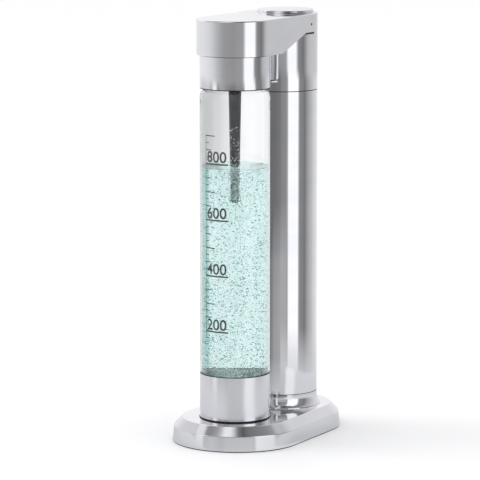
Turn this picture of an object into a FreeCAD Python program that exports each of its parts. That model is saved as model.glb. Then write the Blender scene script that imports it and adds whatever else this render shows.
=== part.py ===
"""Countertop soda carbonator: oval base, gas column, tilting head, push button and lock-in bottle.

Units are millimetres. The origin lies on the floor, midway between the bottle's axis and the
column's axis. +Z is up, the bottle stands at -Y (the front) and the gas column at +Y.
"""
import FreeCAD, Part
import math
import os

Vector = FreeCAD.Vector
UP = Vector(0, 0, 1)
ACROSS = Vector(1, 0, 0)
os.makedirs("parts", exist_ok=True)

# ---- driving dimensions -------------------------------------------------------------------
AXIS_GAP = 88.8                  # bottle axis to column axis
BOTTLE_Y = -AXIS_GAP / 2
COLUMN_Y = AXIS_GAP / 2
RUN = 0.3                        # gap between faces that pass each other
BORE_PLAY = 0.05                 # radial play of a pin in its bush
WIRE_SIDES = 12                  # corners of a spring wire's section

BASE_FRONT_R, BASE_FRONT_Y = 65.0, -40.2
BASE_REAR_R, BASE_REAR_Y = 59.2, 46.0
FOOT_Z = 1.0                     # top of the rubber foot
BASE_TOP_Z = 24.3                # polished flat that carries the column
BASE_WALL = 2.2

COLUMN_R, COLUMN_WALL = 36.1, 1.4
SKIRT_TOP_Z, SKIRT_R = 37.8, 40.0
PARTING_Z = 347.0                # joint between the two column tubes
RIM_Z = 403.7                    # rim of the upper housing below the arm
REAR_TOP_Z = 422.0               # the housing's back half carries the rear cap here

HEAD_R, HEAD_WALL = 38.3, 1.9
HEAD_BOTTOM_Z, HEAD_TOP_Z = 388.8, 424.0
HEAD_PLATE = 1.8                 # thickness of the head's top
HEAD_REAR_Y = 46.4               # end of the arm's side walls
SLOPE_START_Y = -16.4            # the arm's lower edge rises from here ...
SLOPE_END_Y, SLOPE_END_Z = 28.1, 406.0   # ... to here
PIVOT_Y, PIVOT_Z = 38.5, 413.9   # head hinge, along X
BUSH_R, HINGE_PIN_R, NECK_PIN_R = 4.0, 2.5, 1.25
JOURNAL_X, SHOULDER_X = 31.0, 36.3       # the hinge pins' thick part runs from here to here
PLATE_REAR_Y = 18.7              # rear edge of the head's top
CAP_FRONT_Y = 20.2               # front edge of the fixed rear cap

BUTTON_R, BUTTON_Y = 28.2, 51.0
WELL_R = BUTTON_R + RUN
BUTTON_TOP_Z = 426.8
BUTTON_TRAVEL = 2.5
LEVER_Y, LEVER_Z = 28.0, 398.0   # valve lever pivot, along X

COLLAR_R = 35.1
COLLAR_LOW_Z = 355.4
SEAT_Z = 24.7                    # top of the thin ring that the bottle's cup rests over
CUP_LOW_Z, CUP_TOP_Z = SEAT_Z + RUN, 69.5
BOTTLE_R, BOTTLE_WALL = 35.0, 1.2
SHOULDER_Z = 346.0               # the bottle's wall starts to turn in
NECK_R, NECK_TOP_Z = 22.0, 377.6
LIQUID_Z = 278.0
NOZZLE_TOP_R, NOZZLE_TIP_R, NOZZLE_LOW_Z = 6.4, 4.0, 242.0
TIP_HEIGHT, TAPER_TOP_Z = 5.0, 352.0

SCREW_R, SCREW_HEAD_R = 1.5, 2.8         # screws of the base
FINE_SCREW_R, FINE_HEAD_R = 1.2, 2.3     # all other screws

GAS_R = 30.0                     # gas cylinder
GAS_LOW_Z = 10.0
GAS_SHOULDER_Z = 312.0
VALVE_TOP_Z = 372.0

# limits for cutting tools, past the machine on every side
WIDE = 50.0                      # half width
OVER_Z = 440.0                   # above the head
UNDER_HEAD_Z = 380.0             # below the head and above the column's works


# ---- shape helpers ------------------------------------------------------------------------
def cylinder(radius, low, high, y=0.0, x=0.0):
    """Upright cylinder from height low to height high."""
    return Part.makeCylinder(radius, high - low, Vector(x, y, low), UP)


def ring(outer, inner, low, high, y=0.0, x=0.0):
    """Upright tube."""
    return cylinder(outer, low, high, y, x).cut(cylinder(inner, low - 1, high + 1, y, x))


def bar(radius, x_from, x_to, y, z):
    """Round bar along X."""
    return Part.makeCylinder(radius, x_to - x_from, Vector(x_from, y, z), ACROSS)


def box(x_from, x_to, y_from, y_to, z_from, z_to):
    return Part.makeBox(x_to - x_from, y_to - y_from, z_to - z_from, Vector(x_from, y_from, z_from))


def turned(edges, y=0.0, x=0.0):
    """Solid of revolution about an upright axis from a closed list of (radius, z) corners.

    A corner given as (radius, z, mid_radius, mid_z) is reached by an arc through the mid point.
    """
    lines = []
    start = edges[-1]
    for corner in edges:
        a = Vector(start[0], 0, start[1])
        b = Vector(corner[0], 0, corner[1])
        if len(corner) == 4:
            lines.append(Part.Arc(a, Vector(corner[2], 0, corner[3]), b).toShape())
        elif a.distanceToPoint(b) > 1e-6:
            lines.append(Part.makeLine(a, b))
        start = corner
    face = Part.Face(Part.Wire(lines))
    solid = face.revolve(Vector(0, 0, 0), UP, 360)
    solid.translate(Vector(x, y, 0))
    return solid


def arc_mid(centre_r, centre_z, radius, angle):
    """Point of an arc in the (radius, z) plane, for use as a mid point."""
    turn = math.radians(angle)
    return centre_r + radius * math.cos(turn), centre_z + radius * math.sin(turn)


def side_cut(points, width):
    """Prism across X from a closed outline of (y, z) points."""
    wire = Part.makePolygon([Vector(-width, y, z) for y, z in points + points[:1]])
    return Part.Face(wire).extrude(Vector(2 * width, 0, 0))


def base_outline(inset, z):
    """Tapered oval of the base: two arcs and their two common tangents, starting at the front."""
    front_r = BASE_FRONT_R - inset
    rear_r = BASE_REAR_R - inset
    lean = math.asin((BASE_FRONT_R - BASE_REAR_R) / (BASE_REAR_Y - BASE_FRONT_Y))
    front = Vector(0, BASE_FRONT_Y - front_r, z)
    rear = Vector(0, BASE_REAR_Y + rear_r, z)

    def on_arc(radius, centre_y, angle, side):
        return Vector(side * radius * math.cos(angle), centre_y + radius * math.sin(angle), z)

    half_front = (lean - math.pi / 2) / 2
    half_rear = (lean + math.pi / 2) / 2
    right_low = on_arc(front_r, BASE_FRONT_Y, lean, 1)
    right_high = on_arc(rear_r, BASE_REAR_Y, lean, 1)
    left_high = on_arc(rear_r, BASE_REAR_Y, lean, -1)
    left_low = on_arc(front_r, BASE_FRONT_Y, lean, -1)
    return Part.Wire([
        Part.Arc(front, on_arc(front_r, BASE_FRONT_Y, half_front, 1), right_low).toShape(),
        Part.makeLine(right_low, right_high),
        Part.Arc(right_high, on_arc(rear_r, BASE_REAR_Y, half_rear, 1), rear).toShape(),
        Part.Arc(rear, on_arc(rear_r, BASE_REAR_Y, half_rear, -1), left_high).toShape(),
        Part.makeLine(left_high, left_low),
        Part.Arc(left_low, on_arc(front_r, BASE_FRONT_Y, half_front, -1), front).toShape(),
    ])


def base_slab(inset, low, high):
    return Part.Face(base_outline(inset, low)).extrude(Vector(0, 0, high - low))


def head_plan(inset, low, high, rear_y):
    """Round-fronted plan of the head: a half disc on the bottle's axis and straight sides."""
    half = HEAD_R - inset
    body = box(-half, half, BOTTLE_Y, rear_y, low, high)
    return body.fuse(cylinder(half, low, high, BOTTLE_Y)).removeSplitter()


def pipe(points, radius, bend):
    """Round bar along straight runs joined by tangent arcs of radius bend."""
    edges = []
    start = points[0]
    for corner, after in zip(points[1:-1], points[2:]):
        back = (start - corner).normalize()
        on = (after - corner).normalize()
        half_turn = back.getAngle(on) / 2
        reach = bend / math.tan(half_turn)
        entry = corner + back * reach
        leave = corner + on * reach
        inward = (back + on).normalize()
        middle = corner + inward * (bend / math.sin(half_turn) - bend)
        edges.append(Part.makeLine(start, entry))
        edges.append(Part.Arc(entry, middle, leave).toShape())
        start = leave
    edges.append(Part.makeLine(start, points[-1]))
    heading = points[1] - points[0]
    section = Part.Wire([Part.makeCircle(radius, points[0], heading)])
    return Part.Wire(edges).makePipeShell([section], True, True)


def coil_spring(radius, wire_r, low, high, turns, y):
    """Coil spring about an upright axis, wound from half circles that are tangent where they meet.

    Each half circle leans so that it rises by half a pitch, and the next one leans the other way.
    The wire's section is a regular polygon of WIRE_SIDES corners, which keeps the spring's faces simple.
    """
    half_rise = (high - low - 2 * wire_r) / (2 * turns)
    half_turns = []
    for index in range(2 * turns):
        side = 1 if index % 2 == 0 else -1
        start = Vector(side * radius, y, low + wire_r + index * half_rise)
        centre = Vector(0, y, start.z + half_rise / 2)
        corners = []
        for corner in range(WIRE_SIDES):
            angle = 2 * math.pi * (corner + 0.5) / WIRE_SIDES
            corners.append(start + Vector(math.cos(angle), 0, math.sin(angle)) * wire_r)
        section = Part.Face(Part.makePolygon(corners + corners[:1]))
        lean = (start - centre).cross(Vector(0, side, 0))
        half_turns.append(section.revolve(centre, lean, 180))
    return half_turns[0].multiFuse(half_turns[1:])


def around(count, radius, first_angle, y):
    """Points evenly spaced on a circle about an upright axis."""
    for index in range(count):
        angle = math.radians(first_angle + 360 / count * index)
        yield radius * math.cos(angle), y + radius * math.sin(angle)


def sector(outer, inner, low, high, centre_angle, width, y):
    """Piece of an upright tube that covers width degrees about centre_angle."""
    tube = Part.makeCylinder(outer, high - low, Vector(0, 0, low), UP, width)
    tube = tube.cut(Part.makeCylinder(inner, high - low + 2, Vector(0, 0, low - 1), UP, 360))
    tube.rotate(Vector(0, 0, 0), UP, centre_angle - width / 2)
    tube.translate(Vector(0, y, 0))
    return tube


def save(name, shape):
    if isinstance(shape, list):
        shape = Part.makeCompound(shape)
    elif len(shape.Solids) == 1:
        shape = shape.Solids[0]
    shape.exportStep("parts/" + name + ".step")
    print(f"{name:22s} solids {len(shape.Solids)} valid {shape.isValid()} volume {shape.Volume:10.1f}")


# ---- base ---------------------------------------------------------------------------------
WALL_TOP_Z = 15.4                # the near-upright side ends, the broad bevel begins
WALL_LEAN = 1.7
BEVEL = 10.0
ROUND = 1.2                      # soft edges of the base
ACCESS_R, ACCESS_TOP_Z = 34.4, 6.0       # opening under the column for the gas cylinder, and its door
PAD_R = 22.0
BASE_SCREWS = [(side * x, y) for x, y in ((42.0, -52.0), (45.5, 10.0), (28.0, 77.0)) for side in (-1, 1)]
BASE_PLATE_Z = FOOT_Z + 2.0
BOSS_R, BOSS_BORE_Z = 3.6, 16.0
FINGER_R, FINGER_BAR_HALF = 24.0, 3.0    # recess in the access door and the bar across it
MOUNT_CIRCLE = 33.2


def soft_profile(corners, place):
    """Closed outline of (inset, z, radius) corners; each radius rounds its corner with an arc.

    place turns an (inset, z) pair into a point in space.
    """
    edges = []
    arcs = []
    count = len(corners)
    for index, (inset, z, radius) in enumerate(corners):
        here = Vector(inset, 0, z)
        before = corners[index - 1]
        after = corners[(index + 1) % count]
        back = (Vector(before[0], 0, before[1]) - here).normalize()
        on = (Vector(after[0], 0, after[1]) - here).normalize()
        half_turn = back.getAngle(on) / 2
        reach = radius / math.tan(half_turn)
        middle = here + (back + on).normalize() * (radius / math.sin(half_turn) - radius)
        arcs.append((here + back * reach, middle, here + on * reach, radius))
    for index, (entry, middle, leave, radius) in enumerate(arcs):
        if radius > 0:
            edges.append(Part.Arc(place(entry), place(middle), place(leave)).toShape())
        edges.append(Part.makeLine(place(leave), place(arcs[(index + 1) % count][0])))
    return Part.Face(Part.Wire(edges))


def base_skirt(corners):
    """Profile carried round the base: turned at both ends and drawn straight along the sides."""
    lean = math.degrees(math.asin((BASE_FRONT_R - BASE_REAR_R) / (BASE_REAR_Y - BASE_FRONT_Y)))
    parts = []
    for radius, centre_y, start, sweep in (
            (BASE_FRONT_R, BASE_FRONT_Y, 180 - lean, 180 + 2 * lean),
            (BASE_REAR_R, BASE_REAR_Y, lean, 180 - 2 * lean)):
        centre = Vector(0, centre_y, 0)
        turn = math.radians(start)
        outward = Vector(math.cos(turn), math.sin(turn), 0)
        face = soft_profile(corners, lambda p: centre + outward * (radius - p.x) + UP * p.z)
        parts.append(face.revolve(centre, UP, sweep))
    for side in (-1, 1):
        turn = math.radians(lean)
        outward = Vector(side * math.cos(turn), math.sin(turn), 0)
        start = Vector(0, BASE_FRONT_Y, 0) + outward * BASE_FRONT_R
        end = Vector(0, BASE_REAR_Y, 0) + outward * BASE_REAR_R
        face = soft_profile(corners, lambda p: start - outward * p.x + UP * p.z)
        parts.append(face.extrude(end - start))
    return parts[0].multiFuse(parts[1:])


def base_shell():
    """Skirt (side, broad bevel, soft edges) closed by a top plate, with screw bosses inside."""
    under = BASE_TOP_Z - BASE_WALL
    skirt = base_skirt([
        (0.0, FOOT_Z, 0), (WALL_LEAN, WALL_TOP_Z, ROUND), (BEVEL, BASE_TOP_Z, ROUND),
        (BEVEL + 4, BASE_TOP_Z, 0), (BEVEL + 4, under, 0), (BEVEL + 1, under, 0),
        (WALL_LEAN + BASE_WALL, WALL_TOP_Z - 1, 0), (BASE_WALL, FOOT_Z, 0)])
    shell = skirt.fuse(base_slab(BEVEL + 3, under, BASE_TOP_Z)).removeSplitter()
    for x, y in BASE_SCREWS:
        boss = cylinder(BOSS_R, BASE_PLATE_Z, BASE_TOP_Z - 1, y, x)
        shell = shell.fuse(boss).cut(cylinder(SCREW_R + BORE_PLAY, 0, BOSS_BORE_Z, y, x))
    shell = shell.cut(cylinder(GAS_R + 0.8, 0, BASE_TOP_Z + 1, COLUMN_Y))
    for x, y in around(4, MOUNT_CIRCLE, 45, COLUMN_Y):
        shell = shell.cut(cylinder(FINE_SCREW_R + BORE_PLAY, 0, BASE_TOP_Z + 1, y, x))
    return shell.removeSplitter()


def base_plate():
    """Flat steel cover under the base with the access opening below the column."""
    plate = base_slab(BASE_WALL + 0.6, FOOT_Z + 0.4, BASE_PLATE_Z)
    plate = plate.cut(cylinder(ACCESS_R, 0, 5, COLUMN_Y))
    for x, y in BASE_SCREWS:
        plate = plate.cut(cylinder(SCREW_R + BORE_PLAY, 0, 5, y, x))
    return plate


def rubber_foot():
    """Narrow rubber rim that the whole base stands on."""
    return base_slab(0.7, 0, FOOT_Z).cut(base_slab(7.0, -1, FOOT_Z + 1))


def base_screws():
    screws = []
    for x, y in BASE_SCREWS:
        shank = cylinder(SCREW_R, FOOT_Z + 0.4, BOSS_BORE_Z - 1, y, x)
        head = cylinder(SCREW_HEAD_R, FOOT_Z - 0.7, FOOT_Z + 0.4, y, x)
        slot = box(x - 0.4, x + 0.4, y - 2.2, y + 2.2, 0, FOOT_Z - 0.1)
        screws.append(shank.fuse(head).cut(slot).removeSplitter())
    return screws


def access_cap():
    """Twist-off door under the gas cylinder, with a finger bar across a recess."""
    low = FOOT_Z + 0.6
    roof_z = ACCESS_TOP_Z - 1.8
    reach = FINGER_R + 0.5
    cap = cylinder(ACCESS_R - RUN, low, ACCESS_TOP_Z, COLUMN_Y)
    recess = cylinder(FINGER_R, 0, roof_z, COLUMN_Y)
    grip = box(-FINGER_BAR_HALF, FINGER_BAR_HALF, COLUMN_Y - reach, COLUMN_Y + reach, low, roof_z + 0.4)
    return cap.cut(recess).fuse(grip).removeSplitter()


def cap_pad():
    """Round rubber pad on the door, just below the cylinder's bottom."""
    return cylinder(PAD_R, ACCESS_TOP_Z, GAS_LOW_Z - RUN, COLUMN_Y)


def seat_ring():
    """Thin dark ring on the base below the bottle's cup."""
    return ring(COLLAR_R + 0.9, COLLAR_R - 5, BASE_TOP_Z, SEAT_Z, BOTTLE_Y)


save("base_shell", base_shell())
save("seat_ring", seat_ring())
save("base_plate", base_plate())
save("rubber_foot", rubber_foot())
save("base_screws", base_screws())
save("access_cap", access_cap())
save("cap_pad", cap_pad())


# ---- column -------------------------------------------------------------------------------
INNER_R = COLUMN_R - COLUMN_WALL
MOUNT_RING_TOP, MOUNT_SCREW_Z = 46.0, 40.0
FRAME_R = INNER_R - 0.1
SEAM = 0.4                       # half height of the dark joint line
GUIDE_HEIGHT, GUIDE_NOTCH_R = 10.0, 2.4


def mount_ring():
    """Ring inside the column's foot that the base's screws pull on."""
    solid = ring(FRAME_R, GAS_R + 0.7, BASE_TOP_Z, MOUNT_RING_TOP, COLUMN_Y)
    for x, y in around(4, MOUNT_CIRCLE, 45, COLUMN_Y):
        solid = solid.cut(cylinder(FINE_SCREW_R + BORE_PLAY, BASE_TOP_Z - 1, MOUNT_SCREW_Z + 2, y, x))
    return solid


def column_skirt():
    """Polished foot that flares on to the base in a hollow curve."""
    low = BASE_TOP_Z + 0.02
    return turned([(INNER_R, low), (SKIRT_R, low), (SKIRT_R, low + 0.5),
                   (COLUMN_R + 0.3, SKIRT_TOP_Z, COLUMN_R + 1.2, 29.0),
                   (INNER_R, SKIRT_TOP_Z)], COLUMN_Y)


def lower_tube():
    return ring(COLUMN_R, INNER_R, SKIRT_TOP_Z + 0.5, PARTING_Z - SEAM, COLUMN_Y)


def joint_sleeve():
    """Sleeve that joins the two tubes, with the narrow dark flange seen between them."""
    sleeve = ring(FRAME_R, FRAME_R - 1.4, PARTING_Z - 11, PARTING_Z + 11, COLUMN_Y)
    flange = ring(COLUMN_R - 0.5, FRAME_R - 1, PARTING_Z - SEAM, PARTING_Z + SEAM, COLUMN_Y)
    return sleeve.fuse(flange).removeSplitter()


def rim_height(y):
    """Height of the arm's sloping lower edge at y."""
    rise = (SLOPE_END_Z - HEAD_BOTTOM_Z) / (SLOPE_END_Y - SLOPE_START_Y)
    return HEAD_BOTTOM_Z + rise * (y - SLOPE_START_Y)


def upper_housing():
    """Upper tube: its front is cut away under the arm and its back half rises behind it."""
    drop = SLOPE_END_Z - RIM_Z
    tube = ring(COLUMN_R, INNER_R, PARTING_Z + SEAM, REAR_TOP_Z, COLUMN_Y)
    front = COLUMN_Y - COLUMN_R - 5
    bend = SLOPE_END_Y - 0.5
    notch = side_cut([(front, rim_height(front) - drop), (bend, RIM_Z), (HEAD_REAR_Y + 0.6, RIM_Z),
                      (HEAD_REAR_Y + 0.6, OVER_Z), (front, OVER_Z)], WIDE)
    return tube.cut(notch).cut(cylinder(WELL_R, REAR_TOP_Z - 8, REAR_TOP_Z + 1, BUTTON_Y))


def foot_gasket():
    """Dark ring in the groove between the flared foot and the lower tube."""
    return ring(COLUMN_R - 0.6, INNER_R, SKIRT_TOP_Z, SKIRT_TOP_Z + 0.5, COLUMN_Y)


def cylinder_guides():
    """Two notched plastic rings that centre the gas cylinder in the column."""
    guides = []
    for low in (84.0, 236.0):
        solid = ring(FRAME_R, GAS_R + 0.6, low, low + GUIDE_HEIGHT, COLUMN_Y)
        for x, y in around(6, FRAME_R, 0, COLUMN_Y):
            solid = solid.cut(cylinder(GUIDE_NOTCH_R, low - 1, low + GUIDE_HEIGHT + 1, y, x))
        guides.append(solid)
    return guides


def mount_screws():
    screws = []
    for x, y in around(4, MOUNT_CIRCLE, 45, COLUMN_Y):
        under = BASE_TOP_Z - BASE_WALL
        shank = cylinder(FINE_SCREW_R, under, MOUNT_SCREW_Z, y, x)
        head = cylinder(FINE_HEAD_R, under - 2, under, y, x)
        screws.append(shank.fuse(head).removeSplitter())
    return screws


save("column_skirt", column_skirt())
save("foot_gasket", foot_gasket())
save("mount_ring", mount_ring())
save("mount_screws", mount_screws())
save("lower_tube", lower_tube())
save("joint_sleeve", joint_sleeve())
save("upper_housing", upper_housing())
save("cylinder_guides", cylinder_guides())


# ---- gas supply ---------------------------------------------------------------------------
PLUG_R, PLUG_LOW_Z = 7.0, 326.0  # the valve's plug in the cylinder's neck
VALVE_R, VALVE_NECK_Z = 10.5, 344.0
SEAL_TOP_Z = 374.0
BLOCK_R, BLOCK_LOW_Z, BLOCK_TOP_Z = 16.0, 357.0, 380.0
PIN_R, PIN_HEAD_R, PIN_HEAD, PIN_TOP_Z = 1.5, 4.0, 1.4, 394.15
GUIDE_TOP_Z = 388.0              # top of the block's neck, where the pin's spring sits
FLOOR_LOW_Z, FLOOR_TOP_Z = 380.0, 383.0
STEM_X = 10.5                    # gas riser and swivel stand beside the lever
RISER_R, RISER_BORE = 2.0, 1.2
SWIVEL_STEM_R, SWIVEL_COLLAR_R, SWIVEL_RING_R = 2.0, 3.7, 4.2
LEVER_PIN_R, LEVER_HALF = 1.5, 3.5
LEVER_PAD_R, LEVER_PAD_RISE = 3.0, 0.5
BLOCK_SCREW_CIRCLE = 12.0
CHEEK_OUT_X, CHEEK_IN_X = 35.6, 30.6     # the two cheeks that hold the hinge
CHEEK_FRONT_Y, CHEEK_REAR_Y = 30.0, 46.2


def gas_cylinder():
    """Steel pressure cylinder with a domed shoulder, a neck and a hollow."""
    neck_r, inner_r, throat_r = 14.0, GAS_R - 3, 8.0
    outer = turned([(0, GAS_LOW_Z), (GAS_R - 4, GAS_LOW_Z), (GAS_R, GAS_LOW_Z + 4,
                    GAS_R - 1.17, GAS_LOW_Z + 1.17), (GAS_R, GAS_SHOULDER_Z),
                    (neck_r, GAS_SHOULDER_Z + 22, GAS_R - 4.6, GAS_SHOULDER_Z + 14.5),
                    (neck_r, VALVE_NECK_Z), (0, VALVE_NECK_Z)], COLUMN_Y)
    inner = turned([(0, GAS_LOW_Z + 6), (inner_r - 2, GAS_LOW_Z + 6), (inner_r, GAS_LOW_Z + 8),
                    (inner_r, GAS_SHOULDER_Z), (throat_r, GAS_SHOULDER_Z + 18),
                    (throat_r, PLUG_LOW_Z - 1), (0, PLUG_LOW_Z - 1)], COLUMN_Y)
    return outer.cut(inner).cut(cylinder(PLUG_R, GAS_SHOULDER_Z + 6, VALVE_NECK_Z + 6, COLUMN_Y))


def cylinder_valve():
    """Brass valve: a plug in the cylinder's neck, a hexagon and the threaded outlet."""
    plug = cylinder(PLUG_R - 0.02, PLUG_LOW_Z, VALVE_NECK_Z + 0.1, COLUMN_Y)
    points = [Vector(x, y, VALVE_NECK_Z + 0.02) for x, y in around(6, 13.2, 0, COLUMN_Y)]
    hexagon = Part.Face(Part.makePolygon(points + points[:1])).extrude(Vector(0, 0, 9))
    outlet = cylinder(VALVE_R, VALVE_NECK_Z + 5, VALVE_TOP_Z, COLUMN_Y)
    valve = plug.fuse(hexagon).fuse(outlet).removeSplitter()
    for step in range(4):
        groove_z = VALVE_TOP_Z - 3 - 2.4 * step
        valve = valve.cut(ring(VALVE_R + 1, VALVE_R - 0.7, groove_z - 0.5, groove_z + 0.5, COLUMN_Y))
    return valve.cut(cylinder(2.4, VALVE_TOP_Z - 8, VALVE_TOP_Z + 1, COLUMN_Y))


def valve_seal():
    return ring(9.0, 3.0, VALVE_TOP_Z, SEAL_TOP_Z, COLUMN_Y)


def valve_block():
    """Aluminium block that the cylinder's valve screws into and that guides the valve pin."""
    body = cylinder(BLOCK_R, BLOCK_LOW_Z, BLOCK_TOP_Z, COLUMN_Y)
    neck = cylinder(8.0, BLOCK_TOP_Z - 1, GUIDE_TOP_Z, COLUMN_Y)
    block = body.fuse(neck).removeSplitter()
    block = block.cut(cylinder(VALVE_R + 0.1, BLOCK_LOW_Z - 1, SEAL_TOP_Z, COLUMN_Y))
    block = block.cut(cylinder(PIN_R + BORE_PLAY, SEAL_TOP_Z - 4, GUIDE_TOP_Z + 1, COLUMN_Y))
    return block.cut(cylinder(RISER_BORE, SEAL_TOP_Z + 2, BLOCK_TOP_Z + 1, PIVOT_Y, STEM_X))


def valve_pin():
    stem = cylinder(PIN_R, VALVE_TOP_Z + 0.6, PIN_TOP_Z - 1, COLUMN_Y)
    head = cylinder(PIN_HEAD_R, PIN_TOP_Z - PIN_HEAD, PIN_TOP_Z, COLUMN_Y)
    return stem.fuse(head).removeSplitter()


def inner_frame():
    """Black frame in the top of the column: a floor for the valve block, a lever post on each
    side, and two cheeks that hold the hinge bushes and the rear cap."""
    drop = SLOPE_END_Z - RIM_Z + 1.0
    tube = ring(FRAME_R, FRAME_R - 2, FLOOR_LOW_Z - 18, RIM_Z - 0.5, COLUMN_Y)
    front = COLUMN_Y - COLUMN_R - 5
    cheek_low = RIM_Z - 0.6
    notch = side_cut([(front, rim_height(front) - drop), (SLOPE_END_Y, cheek_low),
                      (SLOPE_END_Y, OVER_Z), (front, OVER_Z)], WIDE)
    floor = ring(FRAME_R, 8.1, FLOOR_LOW_Z, FLOOR_TOP_Z, COLUMN_Y)
    frame = tube.cut(notch).fuse(floor)
    for side in (-1, 1):
        near, far = sorted((side * CHEEK_OUT_X, side * CHEEK_IN_X))
        cheek = box(near, far, CHEEK_FRONT_Y, CHEEK_REAR_Y, cheek_low, REAR_TOP_Z)
        root = box(near, far, CHEEK_FRONT_Y, CHEEK_REAR_Y, RIM_Z - 20, RIM_Z + 0.4)
        root = root.common(cylinder(FRAME_R, FLOOR_LOW_Z, RIM_Z + 6, COLUMN_Y))
        cheek = cheek.cut(ring(WIDE, FRAME_R, RIM_Z - 5, RIM_Z + 0.3, COLUMN_Y))
        post = box(*sorted((side * 5.0, side * 8.0)), LEVER_Y - 4, LEVER_Y + 4, FLOOR_LOW_Z, LEVER_Z + 4)
        frame = frame.fuse(cheek).fuse(root).fuse(post)
    frame = frame.cut(bar(BUSH_R, -WIDE, WIDE, PIVOT_Y, PIVOT_Z))
    frame = frame.cut(bar(LEVER_PIN_R, -8.5, 8.5, LEVER_Y, LEVER_Z))
    frame = frame.cut(cylinder(RISER_R + BORE_PLAY, FLOOR_LOW_Z - 1, FLOOR_TOP_Z + 1, PIVOT_Y, STEM_X))
    for x, y in around(3, BLOCK_SCREW_CIRCLE, 30, COLUMN_Y):
        frame = frame.cut(cylinder(FINE_SCREW_R + BORE_PLAY, FLOOR_LOW_Z - 1, FLOOR_TOP_Z + 1, y, x))
    return frame.removeSplitter()


def hinge_bushes():
    """Bearing bushes of the head hinge, one in each cheek."""
    bushes = []
    for side in (-1, 1):
        start, end = sorted((side * CHEEK_IN_X, side * (CHEEK_OUT_X + 0.3)))
        bush = bar(BUSH_R, start, end, PIVOT_Y, PIVOT_Z)
        bushes.append(bush.cut(bar(HINGE_PIN_R + BORE_PLAY, start - 1, end + 1, PIVOT_Y, PIVOT_Z)))
    return bushes


def block_screws():
    screws = []
    for x, y in around(3, BLOCK_SCREW_CIRCLE, 30, COLUMN_Y):
        shank = cylinder(FINE_SCREW_R, BLOCK_TOP_Z, FLOOR_TOP_Z, y, x)
        head = cylinder(FINE_HEAD_R, FLOOR_TOP_Z, FLOOR_TOP_Z + 1.8, y, x)
        screws.append(shank.fuse(head).removeSplitter())
    return screws


def lever_pin():
    return bar(LEVER_PIN_R, -8.0, 8.0, LEVER_Y, LEVER_Z)


def valve_lever():
    """Lever from the front pivot, under the button's plunger and over the valve pin."""
    half = LEVER_HALF
    beam = box(-half, half, LEVER_Y, BUTTON_Y + 3, LEVER_Z - 1.2, LEVER_Z + 1.2)
    boss = bar(LEVER_PAD_R + 0.6, -half - 1.1, half + 1.1, LEVER_Y, LEVER_Z)
    pad = bar(LEVER_PAD_R, -half, half, BUTTON_Y, LEVER_Z + LEVER_PAD_RISE)
    nose = bar(LEVER_PAD_R, -half, half, COLUMN_Y, LEVER_Z - LEVER_PAD_RISE)
    lever = beam.fuse(boss).fuse(pad).fuse(nose)
    return lever.cut(bar(LEVER_PIN_R + BORE_PLAY, -9, 9, LEVER_Y, LEVER_Z)).removeSplitter()


def gas_riser():
    """Tube from the valve block up to the swivel on the hinge axis."""
    return ring(RISER_R, RISER_BORE, BLOCK_TOP_Z, PIVOT_Z - SWIVEL_COLLAR_R, PIVOT_Y, STEM_X)


def swivel_stem():
    """Fixed half of the gas swivel: a collar on the riser and a hollow pin along the hinge axis."""
    collar = bar(SWIVEL_COLLAR_R, STEM_X - 2.5, STEM_X + 2.5, PIVOT_Y, PIVOT_Z)
    stem = bar(SWIVEL_STEM_R, STEM_X + 2, STEM_X + 9.5, PIVOT_Y, PIVOT_Z)
    return collar.fuse(stem).removeSplitter()


save("gas_cylinder", gas_cylinder())
save("cylinder_valve", cylinder_valve())
save("valve_seal", valve_seal())
save("valve_block", valve_block())
save("block_screws", block_screws())
save("valve_pin", valve_pin())
pin_spring = coil_spring(2.6, 0.35, GUIDE_TOP_Z, PIN_TOP_Z - PIN_HEAD, 5, COLUMN_Y)
save("pin_spring", pin_spring)
save("inner_frame", inner_frame())
save("hinge_bushes", hinge_bushes())
save("lever_pin", lever_pin())
save("valve_lever", valve_lever())
save("gas_riser", gas_riser())
save("swivel_stem", swivel_stem())


# ---- rear cap and button ------------------------------------------------------------------
WELL_WALL, WELL_LOW_Z, WELL_HALF = 0.9, 413.0, 33.0
CAP_HALF = COLUMN_R - 0.05
SKIRT_WALL = 1.5
BUTTON_PLATE = 2.2
SPRING_SEAT_Z, SEAT_HALF = 405.5, 12.0
PLUNGER_R, FLANGE_R, FLANGE = 4.0, 11.0, 2.4
BUTTON_SKIRT_Z, BUTTON_EDGE = 418.0, 0.8


def rear_cap():
    """Fixed top behind the arm, flush with it, with the round well for the button."""
    plan = box(-CAP_HALF, CAP_HALF, CAP_FRONT_Y, COLUMN_Y, REAR_TOP_Z, HEAD_TOP_Z)
    plan = plan.fuse(cylinder(CAP_HALF, REAR_TOP_Z, HEAD_TOP_Z, COLUMN_Y)).removeSplitter()
    front = box(-CAP_HALF - 1, CAP_HALF + 1, -20, CAP_FRONT_Y, REAR_TOP_Z - 1, HEAD_TOP_Z + 1)
    plan = plan.cut(front)
    rims = [edge for edge in plan.Edges if edge.BoundBox.ZMin > HEAD_TOP_Z - 0.01]
    plan = plan.makeFillet(0.6, rims)
    well_top = REAR_TOP_Z + 0.5
    inside = cylinder(INNER_R - 0.2, WELL_LOW_Z, well_top, COLUMN_Y)
    inside = inside.fuse(box(-WELL_HALF, WELL_HALF, CAP_FRONT_Y + 0.4, COLUMN_Y, WELL_LOW_Z, well_top))
    well = cylinder(WELL_R + WELL_WALL, WELL_LOW_Z, well_top, BUTTON_Y).common(inside)
    cap = plan.fuse(well).cut(cylinder(WELL_R, WELL_LOW_Z - 1, OVER_Z, BUTTON_Y))
    swing_slot = box(STEM_X + 1.5, STEM_X + 9.5, 15, 30, WELL_LOW_Z - 1, REAR_TOP_Z - 1)
    return cap.cut(swing_slot).removeSplitter()


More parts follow.
